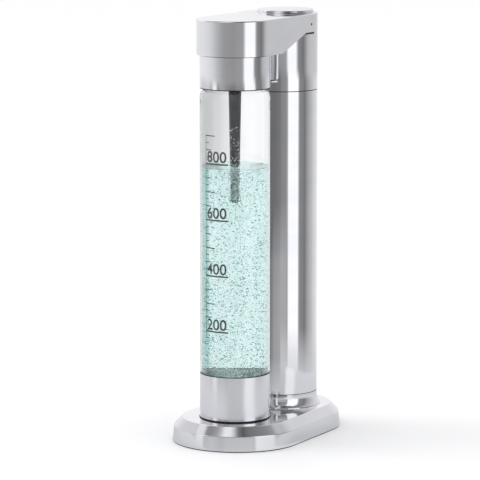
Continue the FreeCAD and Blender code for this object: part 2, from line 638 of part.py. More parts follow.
def spring_seat():
    """Bridge across the frame that guides the plunger and carries the button's spring."""
    low = SPRING_SEAT_Z - 2
    seat = box(-SEAT_HALF, SEAT_HALF, BUTTON_Y - 6.5, COLUMN_Y + FRAME_R - 1.5, low, SPRING_SEAT_Z)
    seat = seat.common(cylinder(FRAME_R - 2.1, low - 1, SPRING_SEAT_Z + 1, COLUMN_Y))
    leg = box(-SEAT_HALF, SEAT_HALF, COLUMN_Y + 20, COLUMN_Y + 23, FLOOR_TOP_Z, SPRING_SEAT_Z - 1)
    bore = cylinder(PLUNGER_R + RUN, low - 1, SPRING_SEAT_Z + 1, BUTTON_Y)
    return seat.fuse(leg).cut(bore).removeSplitter()


def push_button():
    """Round polished button: a flat plate with a soft edge and a skirt that runs in the well."""
    under = BUTTON_TOP_Z - BUTTON_PLATE
    plate = cylinder(BUTTON_R, BUTTON_SKIRT_Z, BUTTON_TOP_Z, BUTTON_Y)
    plate = plate.cut(cylinder(BUTTON_R - SKIRT_WALL, BUTTON_SKIRT_Z - 1, under, BUTTON_Y))
    rim = [edge for edge in plate.Edges if edge.BoundBox.ZMin > BUTTON_TOP_Z - 0.01]
    return plate.makeFillet(BUTTON_EDGE, rim)


def button_plunger():
    """Plunger under the button, with a flange that the spring pushes on."""
    top = BUTTON_TOP_Z - BUTTON_PLATE
    rod = cylinder(PLUNGER_R, LEVER_Z + LEVER_PAD_R + LEVER_PAD_RISE + 0.35, top, BUTTON_Y)
    flange = cylinder(FLANGE_R, top - FLANGE, top, BUTTON_Y)
    return rod.fuse(flange).removeSplitter()


save("rear_cap", rear_cap())
save("spring_seat", spring_seat())
save("push_button", push_button())
save("button_plunger", button_plunger())
button_spring = coil_spring(7.0, 0.5, SPRING_SEAT_Z, BUTTON_TOP_Z - BUTTON_PLATE - FLANGE, 5, BUTTON_Y)
save("button_spring", button_spring)


# ---- tilting head -------------------------------------------------------------------------
PLATE_LOW_Z, PLATE_THICK = 389.2, 2.0
PLATE_END_Y = 14.0
BOSSES = [(side * x, y) for x, y in ((27.0, -62.0), (31.0, -8.0)) for side in (-1, 1)]
HEAD_BOSS_R, HEAD_BORE_Z = 3.2, 404.0
HOLDER_R, HOLDER_LOW_Z, HOLDER_TOP_Z = 12.0, 381.0, 401.0
DOME_R, DOME_TOP_Z = 8.0, 410.0          # raised middle of the nozzle holder
STUB_R, STUB_TOP_Z = 5.0, 396.0          # the nozzle's upper end in the holder
TUBE_Z, TUBE_R, TUBE_BEND = 405.4, 1.8, 6.0
RELIEF_Z, RELIEF_R, RELIEF_LENGTH = 397.0, 4.0, 15.0
SWIVEL_X = STEM_X + 5.5


def head_shell():
    """Polished hood: round front, flat sides that reach back over the column as two cheeks."""
    body = head_plan(0, HEAD_BOTTOM_Z, HEAD_TOP_Z, HEAD_REAR_Y)
    rims = [edge for edge in body.Edges if edge.BoundBox.ZMin > HEAD_TOP_Z - 0.01
            and edge.BoundBox.YMin < HEAD_REAR_Y - 1]
    body = body.makeFillet(1.0, rims)
    body = body.cut(side_cut([(SLOPE_START_Y, HEAD_BOTTOM_Z), (SLOPE_END_Y, SLOPE_END_Z),
                              (HEAD_REAR_Y + 5, SLOPE_END_Z), (HEAD_REAR_Y + 5, UNDER_HEAD_Z),
                              (SLOPE_START_Y, UNDER_HEAD_Z)], WIDE))
    body = body.cut(head_plan(HEAD_WALL, UNDER_HEAD_Z, HEAD_TOP_Z - HEAD_PLATE, HEAD_REAR_Y + 5))
    half = HEAD_R - HEAD_WALL
    body = body.cut(box(-half, half, PLATE_REAR_Y, HEAD_REAR_Y + 5, UNDER_HEAD_Z, OVER_Z))
    for x, y in BOSSES:
        low = PLATE_LOW_Z + PLATE_THICK + 0.05
        if y > SLOPE_START_Y:
            low = rim_height(y + HEAD_BOSS_R) + PLATE_THICK + 0.6
        boss = cylinder(HEAD_BOSS_R, low, HEAD_TOP_Z - HEAD_PLATE + 0.5, y, x)
        body = body.fuse(boss).cut(cylinder(FINE_SCREW_R + BORE_PLAY, UNDER_HEAD_Z, HEAD_BORE_Z, y, x))
    return body.cut(bar(NECK_PIN_R + BORE_PLAY, -WIDE, WIDE, PIVOT_Y, PIVOT_Z)).removeSplitter()


def head_bottom():
    """Plate that closes the head's underside, bent up along the arm's slope."""
    gap = 0.15
    plan = head_plan(HEAD_WALL + gap, UNDER_HEAD_Z, OVER_Z, PLATE_END_Y)
    end_z = rim_height(PLATE_END_Y) + 0.4
    low = [(-90, PLATE_LOW_Z), (SLOPE_START_Y, PLATE_LOW_Z), (PLATE_END_Y, end_z)]
    high = [(y, z + PLATE_THICK) for y, z in reversed(low)]
    plate = side_cut(low + high, WIDE).common(plan)
    plate = plate.cut(cylinder(HOLDER_R + 0.1, UNDER_HEAD_Z, OVER_Z, BOTTLE_Y))
    for x, y in BOSSES:
        seat = PLATE_LOW_Z if y < SLOPE_START_Y else rim_height(y) + 0.4
        plate = plate.cut(cylinder(FINE_SCREW_R + BORE_PLAY, UNDER_HEAD_Z, OVER_Z, y, x))
        plate = plate.cut(cylinder(SCREW_HEAD_R + 0.1, UNDER_HEAD_Z, seat + 0.9, y, x))
    return plate


def head_screws():
    screws = []
    for x, y in BOSSES:
        seat = PLATE_LOW_Z if y < SLOPE_START_Y else rim_height(y) + 0.4
        head = cylinder(SCREW_HEAD_R, seat, seat + 0.9, y, x)
        shank = cylinder(FINE_SCREW_R, seat + 0.9, seat + 9, y, x)
        screws.append(head.fuse(shank).removeSplitter())
    return screws


def hinge_pins():
    """Head hinge pins: a thick journal in the bush and a thin end in the shell's wall."""
    pins = []
    for side in (-1, 1):
        journal = bar(HINGE_PIN_R, *sorted((side * JOURNAL_X, side * SHOULDER_X)), PIVOT_Y, PIVOT_Z)
        ends = sorted((side * (SHOULDER_X - 0.3), side * (HEAD_R - 0.3)))
        neck = bar(NECK_PIN_R, *ends, PIVOT_Y, PIVOT_Z)
        pins.append(journal.fuse(neck).removeSplitter())
    return pins


def collar():
    return ring(COLLAR_R, COLLAR_R - 1.5, COLLAR_LOW_Z + 0.9, HEAD_BOTTOM_Z - 0.8, BOTTLE_Y)


def collar_top_ring():
    """Dark shadow ring between the collar and the head."""
    return ring(COLLAR_R - 0.6, COLLAR_R - 4, HEAD_BOTTOM_Z - 0.8, PLATE_LOW_Z, BOTTLE_Y)


def collar_lip():
    """Dark soft lip at the collar's mouth."""
    return ring(COLLAR_R - 0.3, COLLAR_R - 2.2, COLLAR_LOW_Z, COLLAR_LOW_Z + 0.9, BOTTLE_Y)


SOCKET_R, SOCKET_WALL_IN = COLLAR_R - 1.55, 28.0
SOCKET_LOW_Z, SOCKET_ROOF_Z, SOCKET_TOP_Z = 358.6, 383.0, 386.0
LUG_COUNT = 3
LUG_Z, LUG_HEIGHT, LUG_WIDTH = 366.0, 3.0, 44.0      # width in degrees
LEDGE_TOP_Z, LEDGE_WIDTH = LUG_Z - 0.4, 54.0


def lock_socket():
    """Bayonet socket in the collar: three ledges that the bottle's lugs turn on to."""
    wall = ring(SOCKET_R, SOCKET_WALL_IN, SOCKET_LOW_Z, SOCKET_TOP_Z, BOTTLE_Y)
    roof = ring(SOCKET_R, HOLDER_R + 0.1, SOCKET_ROOF_Z, SOCKET_TOP_Z, BOTTLE_Y)
    socket = wall.fuse(roof)
    for index in range(LUG_COUNT):
        ledge = sector(SOCKET_WALL_IN + 1, NECK_R + RUN + 0.2, LEDGE_TOP_Z - 3.2, LEDGE_TOP_Z,
                       90 + index * 360 / LUG_COUNT, LEDGE_WIDTH, BOTTLE_Y)
        socket = socket.fuse(ledge)
    return socket.removeSplitter()


def bottle_seal():
    return ring(NECK_R + 2, NECK_R - 6, NECK_TOP_Z + 0.35, SOCKET_ROOF_Z, BOTTLE_Y)


def nozzle_holder():
    """Block above the socket that takes the gas tube, the nozzle and the relief valve."""
    holder = cylinder(HOLDER_R, HOLDER_LOW_Z, HOLDER_TOP_Z, BOTTLE_Y)
    dome = cylinder(DOME_R, HOLDER_TOP_Z - 1, DOME_TOP_Z, BOTTLE_Y)
    socket = cylinder(STUB_R, HOLDER_LOW_Z - 1, STUB_TOP_Z, BOTTLE_Y)
    return holder.fuse(dome).cut(socket).removeSplitter()


def nozzle():
    """Carbonating tube: wide under the seal, tapering to the tip in the water."""
    low, bore, stub_r = NOZZLE_LOW_Z + TIP_HEIGHT, 1.6, STUB_R - BORE_PLAY
    shoulder_z, top_z = HOLDER_LOW_Z - 0.1, STUB_TOP_Z - 0.1
    return turned([(bore, low), (NOZZLE_TIP_R + 0.2, low), (NOZZLE_TOP_R, TAPER_TOP_Z),
                   (NOZZLE_TOP_R, shoulder_z), (stub_r, shoulder_z), (stub_r, top_z), (bore, top_z)],
                  BOTTLE_Y)


def nozzle_tip():
    """Jet at the end of the nozzle."""
    low, top = NOZZLE_LOW_Z, NOZZLE_LOW_Z + TIP_HEIGHT
    return turned([(0.6, low), (NOZZLE_TIP_R - 1.2, low), (NOZZLE_TIP_R, low + 1.4),
                   (NOZZLE_TIP_R + 0.2, top), (0.6, top)], BOTTLE_Y)


def relief_valve():
    """Safety valve that stands on the holder's left side."""
    body = bar(RELIEF_R, -HOLDER_R - RELIEF_LENGTH, -HOLDER_R, BOTTLE_Y, RELIEF_Z)
    root = bar(RELIEF_R, -HOLDER_R - 1, -HOLDER_R + 2, BOTTLE_Y, RELIEF_Z)
    flange = bar(RELIEF_R + 1.4, -HOLDER_R - 9, -HOLDER_R - 6, BOTTLE_Y, RELIEF_Z)
    holder = cylinder(HOLDER_R, HOLDER_LOW_Z, HOLDER_TOP_Z, BOTTLE_Y)
    return body.fuse(flange).fuse(root).cut(holder).removeSplitter()


def swivel_body():
    """Moving half of the gas swivel, a ring that turns on the stem."""
    body = bar(SWIVEL_RING_R, SWIVEL_X - 2.6, SWIVEL_X + 2.6, PIVOT_Y, PIVOT_Z)
    return body.cut(bar(SWIVEL_STEM_R + BORE_PLAY, SWIVEL_X - 5, SWIVEL_X + 5, PIVOT_Y, PIVOT_Z))


def gas_tube():
    """Tube from the swivel forward through the arm to the nozzle holder."""
    slant = math.sqrt(0.5) * (SWIVEL_RING_R - 0.3)
    run = [Vector(SWIVEL_X, PIVOT_Y - slant, PIVOT_Z - slant),
           Vector(SWIVEL_X, PIVOT_Y - (PIVOT_Z - TUBE_Z), TUBE_Z),
           Vector(SWIVEL_X, -28.0, TUBE_Z),
           Vector(5.0, BOTTLE_Y + 5.0, TUBE_Z)]
    tube = pipe(run, TUBE_R, TUBE_BEND)
    tube = tube.cut(bar(SWIVEL_RING_R, SWIVEL_X - 3, SWIVEL_X + 3, PIVOT_Y, PIVOT_Z))
    return tube.cut(cylinder(DOME_R, HOLDER_TOP_Z - 1, DOME_TOP_Z, BOTTLE_Y))


save("head_shell", head_shell())
save("head_bottom", head_bottom())
save("head_screws", head_screws())
save("hinge_pins", hinge_pins())
save("collar", collar())
save("collar_top_ring", collar_top_ring())
save("collar_lip", collar_lip())
save("lock_socket", lock_socket())
save("bottle_seal", bottle_seal())
save("nozzle_holder", nozzle_holder())
save("nozzle", nozzle())
save("nozzle_tip", nozzle_tip())
save("relief_valve", relief_valve())
save("swivel_body", swivel_body())
save("gas_tube", gas_tube())


# ---- bottle -------------------------------------------------------------------------------
INSIDE_CUP_R = COLLAR_R - 0.9
SHOULDER_ARC = 11.0              # radius of the shoulder's curve
BOTTOM_Z = 68.0                  # the domed bottom begins below this height
BOTTOM_LOW_Z = 57.0
CUP_WALL = 0.8


def bottle_profile(inset, with_neck_top):
    """Half section of the bottle, moved in by inset, as corners for turned()."""
    wall = BOTTLE_R - inset
    cup_wall = INSIDE_CUP_R - inset
    neck = NECK_R - inset
    centre_r = BOTTLE_R - SHOULDER_ARC
    arc = SHOULDER_ARC - inset
    shoulder_end = SHOULDER_Z + math.sqrt(arc ** 2 - (neck - centre_r) ** 2)
    low = BOTTOM_LOW_Z + inset
    step = CUP_TOP_Z + 0.6 + inset
    return [(0, low), (cup_wall * 0.62, low), (cup_wall, BOTTOM_Z, cup_wall * 0.91, low + 4.2),
            (cup_wall, step), (wall, step + 0.3), (wall, SHOULDER_Z),
            (neck, shoulder_end) + arc_mid(centre_r, SHOULDER_Z, arc, 38),
            (neck, with_neck_top), (0, with_neck_top)]


def bottle():
    """Clear pressure bottle with a neck that carries the locking lugs."""
    outer = turned(bottle_profile(0, NECK_TOP_Z), BOTTLE_Y)
    inner = turned(bottle_profile(BOTTLE_WALL, NECK_TOP_Z + 2), BOTTLE_Y)
    shell = outer.cut(inner)
    for index in range(LUG_COUNT):
        lug = sector(SOCKET_WALL_IN - 0.6, NECK_R - 0.5, LUG_Z, LUG_Z + LUG_HEIGHT,
                     90 + index * 360 / LUG_COUNT, LUG_WIDTH, BOTTLE_Y)
        shell = shell.fuse(lug)
    return shell.removeSplitter()


def bottle_cup():
    """Brushed steel cup that the bottle's bottom stands in."""
    edge, floor_z, inner_r = 0.8, CUP_LOW_Z + 1.2, COLLAR_R - CUP_WALL
    outer = turned([(0, CUP_LOW_Z), (COLLAR_R - edge, CUP_LOW_Z),
                    (COLLAR_R, CUP_LOW_Z + edge) + arc_mid(COLLAR_R - edge, CUP_LOW_Z + edge, edge, -45),
                    (COLLAR_R, CUP_TOP_Z), (0, CUP_TOP_Z)], BOTTLE_Y)
    inner = turned([(0, floor_z), (inner_r - edge, floor_z), (inner_r, floor_z + edge),
                    (inner_r, CUP_TOP_Z + 1), (0, CUP_TOP_Z + 1)], BOTTLE_Y)
    return outer.cut(inner)


def cup_insert():
    """Black seat in the cup that the bottle's domed bottom rests in."""
    block = ring(COLLAR_R - CUP_WALL - 0.1, 20.0, CUP_LOW_Z + 2.1, BOTTOM_Z - 4, BOTTLE_Y)
    return block.cut(turned(bottle_profile(0, NECK_TOP_Z), BOTTLE_Y))


def cup_rim():
    """Dark line between the cup and the clear wall."""
    return ring(COLLAR_R - 0.4, INSIDE_CUP_R, CUP_TOP_Z, CUP_TOP_Z + 0.6, BOTTLE_Y)


def water():
    """Fill of sparkling water, with the hollow that the nozzle stands in."""
    body = turned(bottle_profile(BOTTLE_WALL + 0.02, NECK_TOP_Z), BOTTLE_Y)
    body = body.common(cylinder(WIDE, 0, LIQUID_Z, BOTTLE_Y))
    return body.cut(cylinder(NOZZLE_TOP_R + 0.8, NOZZLE_LOW_Z - 1.5, LIQUID_Z + 1, BOTTLE_Y))


save("bottle", bottle())
save("bottle_cup", bottle_cup())
save("cup_insert", cup_insert())
save("cup_rim", cup_rim())
save("water", water())
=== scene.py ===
# %% [markdown]
# # A countertop soda carbonator, finished in Blender
# The metal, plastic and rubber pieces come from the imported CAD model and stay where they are. This
# lesson gives them their finishes, and builds what a CAD solid can't show: the sparkling water, its
# bubbles, the printed fill scale on the bottle, and the studio round the machine.

# %% Load the frame
import math
import bpy
import numpy as np
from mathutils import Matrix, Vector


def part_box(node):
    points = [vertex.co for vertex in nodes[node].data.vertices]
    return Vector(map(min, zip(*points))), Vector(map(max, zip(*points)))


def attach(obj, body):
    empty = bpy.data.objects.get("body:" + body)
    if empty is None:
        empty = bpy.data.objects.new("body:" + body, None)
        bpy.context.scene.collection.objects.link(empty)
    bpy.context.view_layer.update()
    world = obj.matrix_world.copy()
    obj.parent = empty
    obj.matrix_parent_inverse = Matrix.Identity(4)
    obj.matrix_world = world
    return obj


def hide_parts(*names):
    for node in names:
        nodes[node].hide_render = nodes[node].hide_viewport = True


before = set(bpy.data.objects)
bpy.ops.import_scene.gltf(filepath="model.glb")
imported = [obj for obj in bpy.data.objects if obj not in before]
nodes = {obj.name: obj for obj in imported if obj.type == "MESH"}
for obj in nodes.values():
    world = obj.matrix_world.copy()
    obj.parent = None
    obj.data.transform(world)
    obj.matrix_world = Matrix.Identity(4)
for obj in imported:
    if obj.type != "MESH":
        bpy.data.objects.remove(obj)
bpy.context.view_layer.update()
print("pieces from the CAD model:", len(nodes))

# %% [markdown]
# Positions come from the CAD boxes. The bottle's axis and the column's axis are the two lines that
# everything else is set out from, so they are measured once here.

# %% Measure the bottle, the water and the nozzle
MM = 0.001


def centre_and_radius(name):
    """Plan centre of a round node's box, and half of its width."""
    low, high = (np.array(corner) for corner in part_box(name))
    return (low + high)[:2] / 2, (high - low)[0] / 2


bottle_axis, bottle_radius = centre_and_radius("bottle")
column_axis, column_radius = centre_and_radius("lower_tube")
water_low, water_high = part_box("water")
nozzle_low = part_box("nozzle_tip")[0][2]
water_radius = (water_high[0] - water_low[0]) / 2
fill_level = water_high[2]
print("bottle axis", bottle_axis, "radius", round(bottle_radius, 4), "fill level", round(fill_level, 4))

# %% [markdown]
# ## Writing shader maths as Python
# A material's node tree is hard to read when every link is made by hand. This small class wraps an
# output socket, so that `1 - mask * 0.4` adds the Math nodes that it needs. Every other node comes
# from `Finish.node`.

# %% The socket class and the material maker


class Signal:
    """A shader value. Arithmetic on it adds Math nodes to its material."""

    def __init__(self, finish, socket):
        self.finish = finish
        self.socket = socket

    def _maths(self, operation, first, second):
        return self.finish.node("ShaderNodeMath", {"operation": operation}, {0: first, 1: second})

    def __add__(self, other):
        return self._maths("ADD", self, other)

    def __sub__(self, other):
        return self._maths("SUBTRACT", self, other)

    def __rsub__(self, other):
        return self._maths("SUBTRACT", other, self)

    def __mul__(self, other):
        return self._maths("MULTIPLY", self, other)

    def __pow__(self, other):
        return self._maths("POWER", self, other)

    __radd__ = __add__
    __rmul__ = __mul__


class Finish:
    """One material, built from a Principled shader and whatever nodes shape its sockets."""

    def __init__(self, name, **constants):
        self.material = bpy.data.materials.new(name)
        self.material.use_nodes = True
        self.tree = self.material.node_tree
        self.shader = self.tree.nodes["Principled BSDF"]
        for socket, value in constants.items():
            self.shader.inputs[socket.replace("_", " ")].default_value = value

    def node(self, kind, settings, values, output=0):
        """Adds one node: its settings first, then the values or links of its sockets."""
        made = self.tree.nodes.new(kind)
        for key, value in settings.items():
            setattr(made, key, value)
        for key, value in values.items():
            self.feed(made.inputs[key], value)
        return Signal(self, made.outputs[output])

    def feed(self, socket, value):
        """Links a signal to a socket, or sets the socket's own value."""
        if isinstance(value, Signal):
            self.tree.links.new(value.socket, socket)
        else:
            socket.default_value = value

    def drive(self, **signals):
        """Feeds the Principled shader's sockets that vary over the surface."""
        for socket, value in signals.items():
            self.feed(self.shader.inputs[socket.replace("_", " ")], value)

    def place(self, scale=(1, 1, 1)):
        """The surface's own position in metres, stretched by scale."""
        where = self.node("ShaderNodeTexCoord", {}, {}, "Object")
        return self.node("ShaderNodeMapping", {}, {"Vector": where, "Scale": scale})

    def noise(self, scale, detail=3.0, stretch=(1, 1, 1), rough=0.5):
        """Noise on the surface's own position, with scale in cells per metre."""
        return self.node("ShaderNodeTexNoise", {}, {
            "Vector": self.place(stretch), "Scale": scale, "Detail": detail, "Roughness": rough})

    def spread(self, signal, low, high, out_low, out_high):
        """Maps the range low to high on to out_low to out_high, held at its ends."""
        return self.node("ShaderNodeMapRange", {}, {
            "Value": signal, "From Min": low, "From Max": high, "To Min": out_low, "To Max": out_high})

    def blend(self, factor, first, second):
        """Mixes two colours by factor."""
        return self.node("ShaderNodeMix", {"data_type": "RGBA"}, {
            "Factor": factor, 6: first, 7: second}, 2)

    def bump(self, height, distance, strength=1.0):
        """Normal of a surface raised by height times distance, in metres."""
        return self.node("ShaderNodeBump", {}, {
            "Height": height, "Distance": distance, "Strength": strength})

    def output(self, surface):
        """Makes another shader the material's surface."""
        self.tree.links.new(surface.socket, self.tree.nodes["Material Output"].inputs["Surface"])


def colour(red, green, blue):
    """Screen values from 0 to 255 as the linear colour that a shader takes."""
    def linear(value):
        share = value / 255
        return share / 12.92 if share <= 0.04045 else ((share + 0.055) / 1.055) ** 2.4
    return linear(red), linear(green), linear(blue), 1.0


def dress(finish, *names):
    """Puts a material on every slot of the named CAD nodes."""
    for name in names:
        mesh = nodes[name].data
        mesh.materials.clear()
        mesh.materials.append(finish.material)
    print(finish.material.name, "on", ", ".join(names))


# %% [markdown]
# ## Polished steel
# The base, column, collar, head and button are mirror polished. A mirror shows the room, so most of
# its look is in the studio further down. What the surface itself adds is a faint wipe pattern,
# which changes the roughness a little, and the very slight waviness that a polishing wheel leaves.

# %% Polished steel
MIRROR, WIPED = colour(232, 232, 235), colour(224, 225, 229)


def polished(name, roughness, smear, wave):
    """Mirror metal: roughness rises by smear where the wipe noise is strong, and wave is the bump's depth."""
    finish = Finish(name, Base_Color=MIRROR, Metallic=1.0)
    wipe = finish.noise(18.0, 4.0, (1, 1, 2.5))
    fine = finish.noise(420.0, 2.0)
    smeared = finish.spread(wipe * 0.8 + fine * 0.2, 0.35, 0.68, roughness, roughness + smear)
    finish.drive(Roughness=smeared,
                 Base_Color=finish.blend(finish.spread(wipe, 0.3, 0.7, 0.0, 1.0), MIRROR, WIPED),
                 Normal=finish.bump(finish.noise(26.0, 1.0), wave))
    return finish


shell_steel = polished("polished_shell_steel", 0.035, 0.05, 0.00001)
base_steel = polished("polished_base_steel", 0.05, 0.05, 0.00001)
dress(shell_steel, "lower_tube", "upper_housing", "head_shell", "collar", "rear_cap")
dress(base_steel, "base_shell", "column_skirt", "push_button")

# %% [markdown]
# ## Satin cup
# The cup under the bottle is the same steel with a softer, satin surface: very fine lines run round
# it, so the noise is squeezed along the height and feeds both the roughness and a hair-thin bump.

# %% Satin steel
satin = Finish("satin_cup_steel", Base_Color=colour(226, 226, 230), Metallic=1.0)
lines = satin.noise(60.0, 3.0, (0.6, 0.6, 40.0))
satin.drive(Roughness=satin.spread(lines, 0.3, 0.7, 0.17, 0.21),
            Normal=satin.bump(lines, 0.000002, 0.3))
dress(satin, "bottle_cup")

# %% [markdown]
# ## Plastics and rubber
# Moulded plastic has a fine spark-eroded grain. Rubber is darker and duller, with dust in its
# pores. Both are made by one function: the grain is a bump, and the colour drifts a little with a
# slower noise.

# %% Moulded plastics and rubber


def moulded(name, tone, tone_worn, roughness, grain_scale, grain_depth):
    """Plastic or rubber: the colour drifts from tone to tone_worn, the grain moves roughness and bump."""
    finish = Finish(name, Base_Color=tone)
    drift = finish.noise(30.0, 3.0)
    grain = finish.noise(grain_scale, 2.0)
    finish.drive(Base_Color=finish.blend(finish.spread(drift, 0.35, 0.7, 0.0, 1.0), tone, tone_worn),
                 Roughness=finish.spread(grain, 0.3, 0.7, roughness - 0.06, roughness + 0.08),
                 Normal=finish.bump(grain, grain_depth))
    return finish


black_plastic = moulded("black_plastic", colour(30, 30, 32), colour(40, 40, 42), 0.45, 2600.0, 0.00003)
black_rubber = moulded("black_rubber", colour(24, 24, 25), colour(36, 35, 34), 0.75, 1500.0, 0.00005)
nozzle_black = moulded("nozzle_black", colour(20, 21, 24), colour(28, 29, 32), 0.32, 1800.0, 0.00001)
dress(black_plastic, "inner_frame", "spring_seat", "joint_sleeve", "cylinder_guides", "lock_socket",
      "cup_insert", "access_cap", "head_bottom", "button_plunger")
dress(black_rubber, "rubber_foot", "foot_gasket", "collar_lip", "collar_top_ring", "bottle_seal",
      "valve_seal", "cap_pad", "cup_rim")
dress(nozzle_black, "nozzle", "nozzle_tip")
glossy_rubber = moulded("glossy_rubber", colour(22, 22, 23), colour(34, 34, 35), 0.22, 700.0, 0.000004)
dress(glossy_rubber, "seat_ring")

# %% [markdown]
# ## Inner metals
# Brass, aluminium, plain steel and the cylinder's enamel are seen only when the head is up or the
# cover is off. Turned parts carry fine tool marks, so their noise is squeezed along the height as
# on the cup.

# %% Machined metals and enamel


def machined(name, tone, worn, roughness):
    """Turned metal: tool marks squeezed along the height, and stains that blend tone with worn."""
    finish = Finish(name, Base_Color=tone, Metallic=1.0)
    marks = finish.noise(90.0, 2.0, (0.5, 0.5, 30.0))
    stain = finish.noise(60.0, 4.0)
    finish.drive(Base_Color=finish.blend(finish.spread(stain, 0.4, 0.75, 0.0, 1.0), tone, worn),
                 Roughness=finish.spread(marks, 0.3, 0.7, roughness, roughness + 0.12),
                 Normal=finish.bump(marks, 0.00001))
    return finish


dress(machined("machined_brass", colour(214, 178, 104), colour(176, 140, 80), 0.22),
      "cylinder_valve", "swivel_stem", "swivel_body", "relief_valve", "hinge_bushes")
dress(machined("machined_aluminium", colour(205, 207, 211), colour(180, 182, 186), 0.28),
      "valve_block", "nozzle_holder", "mount_ring")
dress(machined("plain_steel", colour(176, 177, 180), colour(150, 150, 152), 0.25),
      "base_screws", "mount_screws", "block_screws", "head_screws", "lever_pin", "valve_lever",
      "valve_pin", "pin_spring", "button_spring", "gas_riser", "gas_tube")
dress(moulded("blackened_steel", colour(20, 20, 21), colour(34, 34, 36), 0.4, 900.0, 0.00001),
      "hinge_pins")
dress(moulded("powder_coat", colour(34, 34, 36), colour(44, 44, 46), 0.6, 1400.0, 0.00006),
      "base_plate")
dress(moulded("cylinder_enamel", colour(150, 154, 160), colour(138, 142, 148), 0.35, 500.0, 0.00001),
      "gas_cylinder")

# %% [markdown]
# ## The clear bottle
# The bottle is a thin wall with air or water behind it. A Principled shader that lets all light
# through bends it at both faces of the wall, and the near-parallel faces cancel out, as they do in
# a real bottle. Faint draw lines from the mould run up the wall and give its reflections a little
# life.

# %% Clear bottle wall
CLEAR, EDGE_SHADE = (0.985, 0.992, 0.992, 1.0), (0.62, 0.74, 0.74, 1.0)
clear = Finish("clear_bottle_wall", Base_Color=CLEAR, Roughness=0.0, IOR=1.42, Transmission_Weight=1.0)
facing = clear.node("ShaderNodeLayerWeight", {}, {"Blend": 0.5}, "Facing")
clear_place = clear.node("ShaderNodeTexCoord", {}, {}, "Object")
height = clear.node("ShaderNodeSeparateXYZ", {}, {0: clear_place}, "Z")
SHOULDER_LOW, SHOULDER_HIGH = 333 * MM, 345 * MM
shoulder = clear.spread(height, SHOULDER_LOW, SHOULDER_HIGH, 0.0, 1.0)
draw_lines = clear.noise(26.0, 2.0, (1, 1, 0.25))
ripples = clear.noise(70.0, 3.0, (0.6, 0.6, 1.8))
wavy = draw_lines * 0.1 + ripples * shoulder
# painted shade: the wall darkens to a grey-teal at its edges, where it turns away from view
clear.drive(Base_Color=clear.blend(clear.spread(facing, 0.42, 0.95, 0.0, 1.0) ** 1.4, CLEAR, EDGE_SHADE),
            Normal=clear.bump(wavy, 0.0006, 0.7),
            Roughness=clear.spread(clear.noise(55.0, 3.0), 0.55, 0.8, 0.0, 0.05))
dress(clear, "bottle")

# %% [markdown]
# ## Surfaces as arrays
# Round pieces are a profile turned about an axis. The whole grid of points is worked out at once:
# the profile's radii times the cosine and sine of every angle. Quads join neighbours on the grid,
# and the first column joins the last.

# %% Turning a profile


def grid_mesh(name, points, quads):
    """Puts arrays of points and quads into a mesh object at the origin."""
    mesh = bpy.data.meshes.new(name)
    mesh.vertices.add(len(points))
    mesh.vertices.foreach_set("co", points.astype(np.float32).ravel())
    mesh.loops.add(quads.size)
    mesh.loops.foreach_set("vertex_index", quads.astype(np.int32).ravel())
    mesh.polygons.add(len(quads))
    sides = quads.shape[1]
    mesh.polygons.foreach_set("loop_start", np.arange(0, quads.size, sides, dtype=np.int32))
    mesh.update(calc_edges=True)
    mesh.validate()
    piece = bpy.data.objects.new(name, mesh)
    bpy.context.scene.collection.objects.link(piece)
    return piece


def smooth(piece, angle=40):
    """Smooth shading, with an edge kept sharp where its faces meet at more than angle degrees."""
    piece.data.shade_smooth()
    piece.data.set_sharp_from_angle(angle=math.radians(angle))


def turned(name, profile, axis, steps=160):
    """Closed surface of revolution: each (radius, height) of the profile goes round in steps columns.

    The profile itself is a closed loop, so the surface has no open rim.
    """
    profile = np.array(profile)
    angles = np.arange(steps) * 2 * math.pi / steps
    x = axis[0] + profile[:, 0, None] * np.cos(angles)
    y = axis[1] + profile[:, 0, None] * np.sin(angles)
    z = np.broadcast_to(profile[:, 1, None], x.shape)
    points = np.stack([x, y, z], axis=2).reshape(-1, 3)
    rows = np.arange(len(profile))[:, None]
    columns = np.arange(steps)[None, :]
    next_row = (rows + 1) % len(profile)
    next_column = (columns + 1) % steps
    quads = np.stack([rows * steps + columns, rows * steps + next_column,
                      next_row * steps + next_column, next_row * steps + columns], axis=2).reshape(-1, 4)
    return grid_mesh(name, points, quads)


def arc(centre_r, centre_z, radius_r, radius_z, start, end, count):
    """Points of an elliptic arc in the (radius, height) plane, angles in degrees."""
    turn = np.radians(np.linspace(start, end, count))
    return np.stack([centre_r + radius_r * np.cos(turn), centre_z + radius_z * np.sin(turn)], axis=1)


# %% [markdown]
# ## Sparkling water
# The water fills the bottle up to its line. It climbs a little at the wall and at the nozzle, which
# is the meniscus, and it leaves room for the nozzle. Its colour is a pale teal. Thousands of tiny
# bubbles make parts of it milky, so the clear shader is mixed with a bright scattering one, and a
# slow noise along the height says where. The scattering shader also glows, which is painted light.

# %% Water surface
GAP = 0.12 * MM                  # air left between water and wall, so that the faces don't fight
POCKET = 0.25 * MM               # water stands this far off the nozzle
MENISCUS = 1.1 * MM

NEAR_AXIS = 0.2 * MM             # the profile starts and ends this close to the axis
TIP_R, TIP_END_R, NOZZLE_R_AT_FILL = 4.2 * MM, 3.0 * MM, 4.9 * MM
STRAIGHT_LOW, WALL_LOW = 68.5 * MM, 71.5 * MM

